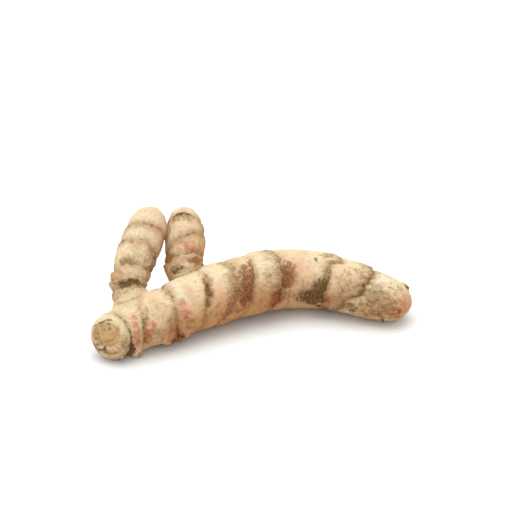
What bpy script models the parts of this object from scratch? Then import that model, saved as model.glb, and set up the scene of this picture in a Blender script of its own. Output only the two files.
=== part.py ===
"""A fresh turmeric root: one rhizome lying on a table, a long finger with two side fingers.

Every limb of it is a UV sphere drawn out along a curved centre line. A place on a limb is given
by its growth coordinate (millimetres along the centre line from the old end to the young tip)
and by an angle round the limb: 0 faces the front, 90 the top, 180 the back and -90 the table.
Tables are in millimetres and degrees. MM turns millimetres into Blender's metres.
"""

import math
import random

import bmesh
import bpy
import numpy as np
from mathutils import Matrix, Vector

MM = 0.001

PART_NAME = "turmeric_root"
RHIZOME_NAME = "rhizome"

# Centre of the finished part's footprint in the drawing below, which moves to the origin.
FOOTPRINT_CENTRE = (0.6, -17.5)

# Centre lines: x, y, height and radius, from the old end to the young tip.
MAIN_LINE = (
    (-55.6, -45.0, 9.3, 8.4),
    (-52.4, -39.9, 8.5, 8.9),
    (-46.8, -35.3, 8.9, 9.4),
    (-36.0, -29.5, 10.8, 10.4),
    (-20.0, -19.5, 12.0, 11.4),
    (-5.0, -11.0, 12.6, 11.9),
    (12.0, -4.5, 12.4, 11.8),
    (27.0, -4.8, 11.7, 11.0),
    (41.0, -9.3, 10.2, 10.1),
    (52.0, -13.3, 8.5, 8.9),
    (61.5, -14.5, 6.1, 6.8),
)
LEFT_FINGER_LINE = (
    (-45.0, -36.0, 9.0, 6.8),
    (-46.4, -26.0, 17.0, 7.2),
    (-46.5, -18.5, 22.5, 7.4),
    (-43.6, -9.5, 29.0, 7.9),
    (-40.4, -1.0, 35.0, 7.4),
    (-37.8, 4.6, 38.8, 6.2),
)
RIGHT_FINGER_LINE = (
    (-25.0, -24.0, 10.0, 7.6),
    (-26.0, -14.5, 17.0, 6.6),
    (-26.6, -5.5, 24.0, 7.6),
    (-26.6, 1.5, 29.0, 7.8),
    (-27.6, 11.0, 35.8, 6.2),
)
REAR_BUD_LINE = (
    (-14.0, -16.0, 8.0, 4.6),
    (-14.6, -8.5, 5.0, 5.2),
    (-15.6, -0.5, 3.6, 4.2),
)

# Leaf-scar rings: place, how far the ring leans along the limb at the front and at the top,
# how ragged it is, the drop at the old sheath's edge, and the depth of the groove under it.
MAIN_RINGS = (
    (8.0, 2.0, 2.6, 0.3, 0.35, 0.6),
    (16.3, -0.2, 2.8, 0.3, 0.15, 0.8),
    (29.4, -0.4, 1.4, 0.6, 0.2, 1.1),
    (40.6, 0.0, 4.8, 0.8, 0.4, 0.55),
    (51.8, 0.0, 6.4, 0.5, -0.2, 0.45),
    (60.0, 0.5, 5.6, 0.5, 0.35, 0.4),
    (71.5, 2.0, 5.0, 0.8, 0.6, 0.45),
    (98.0, 0.6, 0.0, 0.9, 0.6, 0.35),
    (107.5, 2.0, 7.0, 0.8, 0.5, 0.3),
)
LEFT_FINGER_RINGS = (
    (15.0, 1.2, 1.0, 0.3, -0.2, 0.7),
    (19.0, 0.3, 0.0, 0.3, 0.2, 0.5),
    (23.8, 1.2, 0.2, 0.4, 0.35, 0.35),
    (30.6, 0.6, 3.2, 0.5, 0.4, 0.35),
    (38.2, 2.0, 3.0, 0.5, 0.45, 0.3),
)
RIGHT_FINGER_RINGS = (
    (13.5, 3.0, -0.5, 0.4, -0.2, 0.8),
    (19.0, 1.2, 1.6, 0.4, 0.35, 0.4),
    (25.5, 4.0, 2.2, 0.5, 0.4, 0.35),
    (33.5, -0.5, 4.6, 0.5, 0.45, 0.3),
)
REAR_BUD_RINGS = ((11.5, 0.0, 0.6, 0.2, 0.3, 0.25),)

# Buds and root stubs: place, angle, radius and height. A negative height is a pit.
MAIN_KNOBS = (
    (12.8, -48.0, 2.8, 2.2),
    (28.5, -44.0, 4.6, 1.9),
    (28.8, -37.0, 1.9, -1.8),
    (49.5, 150.0, 4.0, 1.8),
    (85.5, 172.0, 3.6, 1.6),
    (92.4, 76.0, 1.6, 0.7),
    (103.5, -150.0, 3.0, 1.6),
    (63.5, -110.0, 2.2, 0.9),
)
LEFT_FINGER_KNOBS = (
    (18.5, 165.0, 3.2, 1.3),
    (27.0, -120.0, 3.0, 1.4),
)
RIGHT_FINGER_KNOBS = (
    (17.5, 165.0, 3.2, 1.2),
    (25.0, -95.0, 2.8, 1.2),
)
REAR_BUD_KNOBS = ()

# Broken-off root stubs: place, angle, radius and how far each stands out of the skin.
SEEN_ROOT_STUBS = (
    (111.5, -20.0, 0.8, 1.0),
    (122.8, -34.0, 0.6, 0.9),
    (96.5, -28.0, 0.7, 0.7),
)
HIDDEN_STUB_ANGLES = (-174.0, -146.0)
STUB_ANGLE_SPREAD = 7.0
STUB_RADIUS = (0.8, 1.2)
STUB_LENGTH = (0.4, 0.9)
STUB_SINK = 1.6
STUB_TAPER = 0.6
STUB_SIDES = 7
STUB_SEED = 7

# The last leaf scale, a small pointed flake near the tip: place, angle, radius and length.
TIP_SCALE = (126.2, 112.0, 1.3, 3.6)
TIP_SCALE_LIFT = 14.0
TIP_SCALE_SIDES = 8

# How each end closes: length of the rounded end and how blunt it is (2 is an ellipse).
OLD_END_CAP = (7.5, 2.6)
BURIED_CAP = (4.0, 2.0)
MAIN_TIP_CAP = (8.0, 2.2)
FINGER_TIP_CAP = (8.5, 2.1)
BUD_TIP_CAP = (4.5, 2.0)

# Grid of each limb: rows along it and columns round it.
MAIN_GRID = (82, 38)
FINGER_GRID = (42, 28)
BUD_GRID = (12, 16)

SHEATH_FADE = 3.6
GROOVE_OFFSET = 0.75
GROOVE_WIDTH = 1.2
WAIST_SHARE = 0.5
WAIST_WIDTH = 4.0
BARREL_SWELL = 0.035
LINE_STEPS = 60
AIM_REACH = 4.0
ROW_GAP = 0.3
OLD_END_ROWS = (0.0, 0.25, 0.9, 2.0, 3.6)
RING_ROWS = (-1.6, -0.25, 0.75, 2.0)
YOUNG_END_ROWS = (5.2, 3.4, 1.9, 0.8, 0.2, 0.0)

SKIN_COLOUR = (0.62, 0.46, 0.28, 1.0)
SKIN_ROUGHNESS = 0.72


class Limb:
    """One stretch of rhizome: its smooth centre line, rings, knobs and end caps."""

    def __init__(self, name, line, rings, knobs, caps, grid, wander):
        self.name = name
        self.rings = rings
        self.knobs = knobs
        self.old_cap, self.young_cap = caps
        self.rows, self.columns = grid
        self.wander = wander
        self.samples = self.smooth_line(np.array(line))
        strides = np.linalg.norm(np.diff(self.samples[:, :3], axis=0), axis=1)
        self.distance = np.concatenate(([0.0], np.cumsum(strides)))
        self.length = self.distance[-1]

    @staticmethod
    def smooth_line(knots):
        """Points of a Catmull-Rom curve through the knots, radius included."""
        padded = np.vstack([2 * knots[0] - knots[1], knots, 2 * knots[-1] - knots[-2]])
        t = np.linspace(0.0, 1.0, LINE_STEPS, endpoint=False)[:, None]
        spans = []
        for a, b, c, d in zip(padded, padded[1:], padded[2:], padded[3:]):
            bend = (2 * a - 5 * b + 4 * c - d) * t**2 + (3 * b - a - 3 * c + d) * t**3
            spans.append(0.5 * (2 * b + (c - a) * t + bend))
        return np.vstack([*spans, knots[-1:]])

    def line_at(self, place):
        """Centre, front direction, up direction and radius of the limb at a place."""
        def read(where, column):
            return np.interp(where, self.distance, self.samples[:, column])

        centre = np.stack([read(place, k) for k in range(3)], axis=-1)
        before = np.clip(place - AIM_REACH, 0.0, self.length)
        after = np.clip(place + AIM_REACH, 0.0, self.length)
        along = np.stack([read(after, k) - read(before, k) for k in range(3)], axis=-1)
        along /= np.linalg.norm(along, axis=-1, keepdims=True)
        up = np.array([0.0, 0.0, 1.0]) - along * along[..., 2:]
        up /= np.linalg.norm(up, axis=-1, keepdims=True)
        return centre, np.cross(along, up), up, read(place, 3)

    def end_factor(self, place):
        """1 along the limb, falling to 0 at both ends in a rounded cap."""
        length, blunt = self.old_cap
        old = np.clip(1.0 - place / length, 0.0, 1.0)
        factor = (1.0 - old**blunt) ** (1.0 / blunt)
        length, blunt = self.young_cap
        young = np.clip(1.0 - (self.length - place) / length, 0.0, 1.0)
        return factor * (1.0 - young**blunt) ** (1.0 / blunt)

    @staticmethod
    def ring_course(ring, angle):
        """How far a ring runs ahead of its place at each angle: its lean and its ragged edge."""
        at, lean_front, lean_top, ragged = ring[:4]
        course = lean_front * np.cos(angle) + lean_top * np.sin(angle)
        course = course + ragged * (0.6 * np.sin(3 * angle + at) + 0.4 * np.sin(7 * angle - at))
        return course

    def ring_relief(self, place, angle):
        """Old sheaths that thicken to an edge and drop there, with a groove under the edge."""
        relief = np.zeros_like(place)
        for ring in self.rings:
            at, drop, groove = ring[0], ring[4], ring[5]
            beyond = place - at - self.ring_course(ring, angle)
            sheath = np.exp(-np.abs(beyond) / SHEATH_FADE)
            relief += drop * np.where(beyond < 0.0, sheath, -0.5 * sheath)
            relief -= groove * np.exp(-(((beyond - GROOVE_OFFSET) / GROOVE_WIDTH) ** 2))
            relief -= groove * WAIST_SHARE * np.exp(-((beyond / WAIST_WIDTH) ** 2))
        return relief

    def knob_relief(self, place, angle, radius):
        """Rounded buds, root stubs and pits."""
        relief = np.zeros_like(place)
        for at, degrees, size, height in self.knobs:
            turn = (angle - math.radians(degrees) + math.pi) % (2 * math.pi) - math.pi
            apart = np.hypot(place - at, turn * radius) / size
            relief += height * np.exp(-(apart**2) * 1.4)
        return relief

    def wander_relief(self, place, angle, radius):
        """Slow unevenness, so that no stretch is a turned shape."""
        a, b, c = self.wander
        waves = 0.55 * np.sin(0.16 * place + a) * np.cos(2 * angle + b + 0.03 * place)
        waves += 0.40 * np.sin(0.29 * place + c) * np.cos(3 * angle - a + 0.05 * place)
        waves += 0.22 * np.sin(0.47 * place + b) * np.cos(5 * angle + c)
        return waves * radius * BARREL_SWELL

    def surface(self, place, angle):
        """Points of the skin in millimetres."""
        centre, front, up, radius = self.line_at(place)
        fade = self.end_factor(place)
        relief = self.ring_relief(place, angle) + self.knob_relief(place, angle, radius)
        relief += self.wander_relief(place, angle, radius)
        reach = (radius * fade + relief * np.minimum(1.0, fade * 1.3))[..., None]
        skin = centre + reach * (np.cos(angle)[..., None] * front + np.sin(angle)[..., None] * up)
        return skin

    def direction(self, place, degrees, lift=90.0):
        """Skin point and a direction that stands off the limb by an angle: 90 is straight out."""
        angle = math.radians(degrees)
        ahead = self.surface(np.array([place, place + 0.5]), np.array([angle, angle]))
        _, front, up, _ = self.line_at(np.array(place))
        outward = math.cos(angle) * front + math.sin(angle) * up
        along = (ahead[1] - ahead[0]) / np.linalg.norm(ahead[1] - ahead[0])
        stand = math.radians(lift)
        return ahead[0], math.sin(stand) * outward + math.cos(stand) * along

    def row_places(self):
        """Place of each row at each column: rows crowd at the rings and follow their course."""
        angle = np.arange(self.columns) / self.columns * 2 * math.pi
        rows = [np.full(self.columns, place) for place in OLD_END_ROWS]
        for ring in self.rings:
            course = self.ring_course(ring, angle)
            rows += [ring[0] + offset + course for offset in RING_ROWS]
        rows += [np.full(self.columns, self.length - place) for place in YOUNG_END_ROWS]
        places = np.sort(np.array(rows), axis=0)
        while len(places) < self.rows + 1:
            widest = int(np.argmax(np.diff(places.mean(axis=1))))
            between = places[widest : widest + 2].mean(axis=0)
            places = np.insert(places, widest + 1, between, axis=0)
        for row in range(1, self.rows):
            places[row] = np.maximum(places[row], places[row - 1] + ROW_GAP)
        return np.minimum(places, self.length)

    def build(self):
        """A UV sphere whose rows become the stations of the limb."""
        cage = bmesh.new()
        bmesh.ops.create_uvsphere(cage, u_segments=self.columns, v_segments=self.rows, radius=1.0)
        points = np.array([vertex.co for vertex in cage.verts], dtype=float)
        row = np.arccos(np.clip(points[:, 2], -1.0, 1.0)) / math.pi * self.rows
        row = np.rint(row).astype(int)
        angle = np.arctan2(points[:, 1], points[:, 0])
        column = np.rint(angle / (2 * math.pi) * self.columns).astype(int) % self.columns
        place = self.row_places()[row, column]
        for vertex, point in zip(cage.verts, self.surface(place, angle)):
            vertex.co = to_world(point)
        mesh = bpy.data.meshes.new(self.name)
        cage.to_mesh(mesh)
        cage.free()
        mesh.shade_smooth()
        return bpy.data.objects.new(self.name, mesh)


def to_world(point):
    """Millimetres of the drawing to metres of the part, with what dips under the table flat."""
    return (
        (point[0] - FOOTPRINT_CENTRE[0]) * MM,
        (point[1] - FOOTPRINT_CENTRE[1]) * MM,
        max(point[2], 0.0) * MM,
    )


def add_spike(cage, limb, place, degrees, radius, length, taper, sides, lift=90.0):
    """A tapering stub that is sunk into the limb's skin."""
    foot, heading = limb.direction(place, degrees, lift)
    whole = length + STUB_SINK
    middle = foot + heading * (whole / 2 - STUB_SINK)
    turn = Vector((0.0, 0.0, 1.0)).rotation_difference(Vector(heading)).to_matrix().to_4x4()
    bmesh.ops.create_cone(
        cage,
        cap_ends=True,
        segments=sides,
        radius1=radius * MM,
        radius2=radius * taper * MM,
        depth=whole * MM,
        matrix=Matrix.Translation(to_world(middle)) @ turn,
    )


def root_stubs(main):
    """All the broken roots of the main limb, and its last leaf scale, as one guide object."""
    rng = random.Random(STUB_SEED)
    cage = bmesh.new()
    for place, degrees, radius, length in SEEN_ROOT_STUBS:
        add_spike(cage, main, place, degrees, radius, length, STUB_TAPER, STUB_SIDES)
    for ring in main.rings[1:]:
        for middle in HIDDEN_STUB_ANGLES:
            degrees = middle + rng.uniform(-STUB_ANGLE_SPREAD, STUB_ANGLE_SPREAD)
            course = float(main.ring_course(ring, math.radians(degrees)))
            place = ring[0] + course - rng.uniform(0.5, 2.5)
            radius, length = rng.uniform(*STUB_RADIUS), rng.uniform(*STUB_LENGTH)
            add_spike(cage, main, place, degrees, radius, length, STUB_TAPER, STUB_SIDES)
    place, degrees, radius, length = TIP_SCALE
    add_spike(cage, main, place, degrees, radius, length, 0.1, TIP_SCALE_SIDES, TIP_SCALE_LIFT)
    mesh = bpy.data.meshes.new("root_stubs")
    cage.to_mesh(mesh)
    cage.free()
    return bpy.data.objects.new("root_stubs", mesh)


def clear_scene():
    for obj in list(bpy.data.objects):
        bpy.data.objects.remove(obj)


def new_collection(name):
    collection = bpy.data.collections.new(name)
    bpy.context.scene.collection.children.link(collection)
    return collection


def skin_material():
    material = bpy.data.materials.new("turmeric_skin")
    material.use_nodes = True
    shader = material.node_tree.nodes["Principled BSDF"]
    shader.inputs["Base Color"].default_value = SKIN_COLOUR
    shader.inputs["Roughness"].default_value = SKIN_ROUGHNESS
    shader.inputs["Metallic"].default_value = 0.0
    material.diffuse_color = SKIN_COLOUR
    return material


def join(body, branch):
    """Fuses a branch to the body with a Boolean and keeps the branch as a wire guide."""
    branch.hide_render = True
    branch.display_type = "WIRE"
    modifier = body.modifiers.new(f"grow_{branch.name}", "BOOLEAN")
    modifier.operation = "UNION"
    modifier.solver = "EXACT"
    modifier.object = branch


def limbs():
    main = Limb(RHIZOME_NAME, MAIN_LINE, MAIN_RINGS, MAIN_KNOBS,
                (OLD_END_CAP, MAIN_TIP_CAP), MAIN_GRID, (0.4, 1.1, 2.3))
    left = Limb("left_finger", LEFT_FINGER_LINE, LEFT_FINGER_RINGS, LEFT_FINGER_KNOBS,
                (BURIED_CAP, FINGER_TIP_CAP), FINGER_GRID, (1.7, 0.2, 0.9))
    right = Limb("right_finger", RIGHT_FINGER_LINE, RIGHT_FINGER_RINGS, RIGHT_FINGER_KNOBS,
                 (BURIED_CAP, FINGER_TIP_CAP), FINGER_GRID, (2.9, 1.6, 0.1))
    bud = Limb("rear_bud", REAR_BUD_LINE, REAR_BUD_RINGS, REAR_BUD_KNOBS,
               (BURIED_CAP, BUD_TIP_CAP), BUD_GRID, (0.8, 2.0, 1.2))
    return main, (left, right, bud)


def build_root():
    part = new_collection(PART_NAME)
    guides = new_collection("limbs_to_join")
    main, branches = limbs()
    body = main.build()
    body.data.materials.append(skin_material())
    part.objects.link(body)
    for obj in [branch.build() for branch in branches] + [root_stubs(main)]:
        obj.data.materials.append(body.data.materials[0])
        guides.objects.link(obj)
        join(body, obj)


clear_scene()
build_root()
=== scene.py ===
"""A fresh turmeric root on a pale table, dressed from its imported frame.

The skin repeats the part's own limbs: smooth cores along the same centre lines are fused by a
remesh, and each point of the fused skin then finds its place on its limb (millimetres along the
centre line from the old end) and its angle round it (0 front, 90 top, 180 back, -90 table).
Rings, sheaths, scars, scrapes and creases are worked out from that place and angle, as relief in
the mesh and as masks for the colours. Tables are in millimetres and degrees.
"""

import math
import random

import bmesh
import bpy
import numpy as np
from mathutils import Matrix, Vector


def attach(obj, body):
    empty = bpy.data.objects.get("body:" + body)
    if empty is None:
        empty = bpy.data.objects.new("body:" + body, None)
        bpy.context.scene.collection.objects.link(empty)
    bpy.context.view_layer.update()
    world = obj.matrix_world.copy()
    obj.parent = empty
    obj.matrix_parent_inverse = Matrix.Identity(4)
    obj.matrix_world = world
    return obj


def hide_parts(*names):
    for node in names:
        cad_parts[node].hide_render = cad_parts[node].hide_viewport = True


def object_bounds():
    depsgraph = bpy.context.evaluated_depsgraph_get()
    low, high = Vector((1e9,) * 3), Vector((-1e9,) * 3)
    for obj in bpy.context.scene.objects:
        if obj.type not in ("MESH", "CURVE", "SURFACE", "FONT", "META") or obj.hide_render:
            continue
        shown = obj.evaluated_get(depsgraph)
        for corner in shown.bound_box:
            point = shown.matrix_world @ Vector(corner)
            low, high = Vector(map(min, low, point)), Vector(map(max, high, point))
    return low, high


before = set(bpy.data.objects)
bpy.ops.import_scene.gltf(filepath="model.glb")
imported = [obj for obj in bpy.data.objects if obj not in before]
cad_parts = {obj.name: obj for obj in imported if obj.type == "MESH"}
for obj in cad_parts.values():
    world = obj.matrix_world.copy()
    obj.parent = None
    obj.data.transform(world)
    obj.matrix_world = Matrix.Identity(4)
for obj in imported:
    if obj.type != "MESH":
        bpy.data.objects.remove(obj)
CAD_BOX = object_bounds()

MM = 0.001

# Centre of the part's footprint in the drawing that the tables below use.
FOOTPRINT_CENTRE = np.array((0.6, -17.5, 0.0))

# Centre lines: x, y, height and radius, from the old end to the young tip.
MAIN_LINE = (
    (-55.6, -45, 9.3, 8.4), (-52.4, -39.9, 8.5, 8.9), (-46.8, -35.3, 8.9, 9.4),
    (-36, -29.5, 10.8, 10.4), (-20, -19.5, 12, 11.4), (-5, -11, 12.6, 11.9),
    (12, -4.5, 12.4, 11.8), (27, -4.8, 11.7, 11), (41, -9.3, 10.2, 10.1), (52, -13.3, 8.5, 8.9),
    (61.5, -14.5, 6.1, 6.8),
)
LEFT_FINGER_LINE = (
    (-45, -36, 9, 6.8), (-46.4, -26, 17, 7.2), (-46.5, -18.5, 22.5, 7.4), (-43.6, -9.5, 29, 7.9),
    (-40.4, -1, 35, 7.4), (-37.8, 4.6, 38.8, 6.2),
)
RIGHT_FINGER_LINE = (
    (-25, -24, 10, 7.6), (-26, -14.5, 17, 6.6), (-26.6, -5.5, 24, 7.6), (-26.6, 1.5, 29, 7.8),
    (-27.6, 11, 35.8, 6.2),
)
REAR_BUD_LINE = (
    (-14, -16, 8, 4.6), (-14.6, -8.5, 5, 5.2), (-15.6, -0.5, 3.6, 4.2),
)

# Leaf-scar rings. Shape: place, lean at the front and at the top, raggedness, drop at the old
# sheath's edge, groove under it. Looks: how far the papery band reaches back from the edge, and
# how strongly the band, the dirt with painted shadow in the crease and the fresh pale skin with a
# painted highlight beyond it show.
MAIN_RINGS = (
    (6.6, 0.8, 2.2, 0.3, 0.4, 0.7, 1.4, 0.35, 0.8, 0.3),
    (16.3, -1.2, 2.8, 0.3, 0.5, 0.8, 0.9, 0.35, 0.55, 0.3),
    (29.2, -0.4, 1.4, 0.45, 0.2, 1.1, 3.2, 0.45, 0.6, 0.8),
    (40.6, 0, 4.8, 0.8, 0.4, 0.55, 1.6, 0.5, 0.6, 0.4),
    (51.8, 0, 6.4, 0.5, -0.2, 0.45, 3, 0.85, 0.3, 0),
    (60, 0.5, 5.6, 0.5, 0.35, 0.4, 1, 0.3, 0.6, 0.4),
    (71.5, 2, 5, 0.8, 0.6, 0.45, 4.8, 0.9, 0.6, 0.1),
    (98, 0.6, 0, 0.9, 0.6, 0.35, 3.8, 0.9, 0.7, 0.4),
    (107.5, 2, 7, 0.8, 0.5, 0.3, 6, 0.95, 0.7, 1),
)
LEFT_FINGER_RINGS = (
    (12.6, 2.4, 0.3, 0.15, 0.1, 0.5, 0.8, 0.3, 0.5, 0),
    (15.4, 0.8, 0.6, 0.15, 0.1, 0.6, 2, 0.7, 0.7, 0),
    (18.4, 0.3, -0.1, 0.2, 0.3, 0.6, 1.6, 0.6, 0.6, 0.3),
    (22.8, 1.2, 0, 0.4, 0.5, 0.45, 0.9, 0.35, 0.6, 0.4),
    (30.6, 0.6, 3.2, 0.5, 0.5, 0.4, 2.4, 0.5, 0.6, 0.5),
    (38.2, 2, 3, 0.5, 0.5, 0.35, 2.2, 0.6, 0.6, 0.6),
)
RIGHT_FINGER_RINGS = (
    (13.5, 3, -0.5, 0.4, -0.2, 0.8, 1.6, 0.4, 0.9, 0.3),
    (19, 1.2, 1.6, 0.4, 0.5, 0.5, 0.9, 0.3, 0.7, 0.4),
    (25.5, 4, 2.2, 0.5, 0.5, 0.45, 1.8, 0.6, 0.6, 0.4),
    (33.5, -0.5, 4.6, 0.5, 0.5, 0.35, 2, 0.6, 0.6, 0.5),
)
REAR_BUD_RINGS = ((11.5, 0.0, 0.6, 0.2, 0.3, 0.25, 1.5, 0.5, 0.5, 0.3),)

# Buds and root stubs: place, angle, radius and height. A negative height is a pit.
MAIN_KNOBS = (
    (12.8, -48, 2.8, 2.2), (28.5, -44, 4.6, 1.9), (28.8, -37, 1.9, -1.8), (49.5, 150, 4, 1.8),
    (85.5, 172, 3.6, 1.6), (92.4, 76, 1.6, 0.7), (103.5, -150, 3, 1.6), (63.5, -110, 2.2, 0.9),
)
LEFT_FINGER_KNOBS = (
    (18.5, 165, 3.2, 1.3), (27, -120, 3, 1.4),
)
RIGHT_FINGER_KNOBS = (
    (17.5, 165, 3.2, 1.2), (25, -95, 2.8, 1.2),
)

# Broken roots of the main limb that the photo shows: place, angle, radius and length. Two more
# are drawn behind each ring but the first: their angles and spread, how far before the ring's
# edge they stand, radius and length.
SEEN_ROOT_STUBS = ((111.5, -20, 0.8, 1), (122.8, -34, 0.6, 0.9), (96.5, -28, 0.7, 0.7))
HIDDEN_STUB_ANGLES = (-174, -146)
STUB_ANGLE_SPREAD = 7
STUB_BEFORE_EDGE = (0.5, 2.5)
STUB_RADIUS = (0.8, 1.2)
STUB_LENGTH = (0.4, 0.9)
STUB_SEED = 7
# Place, leans and raggedness that two rings have in the part, where its stubs follow them.
PART_RINGS = {16.3: (16.3, -0.2, 2.8, 0.3), 29.2: (29.4, -0.4, 1.4, 0.6)}
STUB_TAPER = 0.6
STUB_SINK = 1.6
# The last leaf scale: place, angle, radius, length, taper and how far it stands off.
TIP_SCALE = (127.0, 106.0, 1.1, 3.4, 0.1, 16.0)

# Form of a limb: the waist that each ring draws in, the steepness of a knob, and slow waves: size,
# waves along, waves round and twist.
WAIST_SHARE = 0.5
WAIST_WIDTH = 4.0
KNOB_STEEPNESS = 1.4
WANDER_WAVES = ((0.55, 0.16, 2, 0.03), (0.40, 0.29, 3, 0.05), (0.22, 0.47, 5, 0.0))
BARREL_SWELL = 0.035
# How much sooner than the radius the relief reaches its full height at an end.
CAP_RELIEF = 1.3
LINE_STEPS = 60
AIM_REACH = 4.0

# Old root scars of the main limb, a raised rim round a pit: place, angle, radius, rim height,
# pit depth and what the pit shows.
ROOT_SCARS = (
    (92.3, 75, 1.5, 0.4, 0.8, "dirt_and_shade"), (114.9, 2, 1.5, 0.25, 0.3, "sheath_and_shade"),
    (28.8, -42, 3.9, 1.1, 0, "amber"), (12.2, -40, 1.4, 0.35, 0.3, "amber"),
    (59.7, 48, 0.6, 0.3, 0, "fresh_and_highlight"), (56.5, 28, 0.5, 0.3, 0, "fresh_and_highlight"),
    (58.9, 2, 0.5, 0.3, 0, "fresh_and_highlight"), (46.4, -14, 0.7, 0.25, 0.2, "sheath_and_shade"),
    (64.8, 96, 0.6, 0.25, 0.2, "sheath_and_shade"), (104.6, 70, 0.5, 0.2, 0.1, "sheath_and_shade"),
)
# Short cracks by limb: place and angle of both ends, width, depth, and the darkness of the painted
# shade in them.
CRACKS = {
    "main": (
        (86.4, 58, 86, 72, 0.35, 0.2, 0.35), (20.9, 70, 20.5, 54, 0.45, 0.25, 0.4),
        (11.6, 74, 12, 60, 0.4, 0.25, 0.4), (109.8, -4, 110.6, -18, 0.6, 0.35, 0.5),
        (30, 140, 33, 128, 0.4, 0.3, 0.4), (79, -170, 81, 160, 0.4, 0.25, 0.3),
    ),
    "left": (
        (8.6, 126, 9.2, 96, 0.5, 0.35, 0.3), (9.2, 94, 10.8, 64, 0.5, 0.35, 0.25),
        (43.6, -50, 43, -84, 0.4, 0.3, 0.3), (47.8, -80, 47.4, -130, 0.4, 0.3, 0.3),
    ),
    "right": (
        (38, -130, 38.6, -90, 0.4, 0.3, 0.3),
    ),
}
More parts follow.
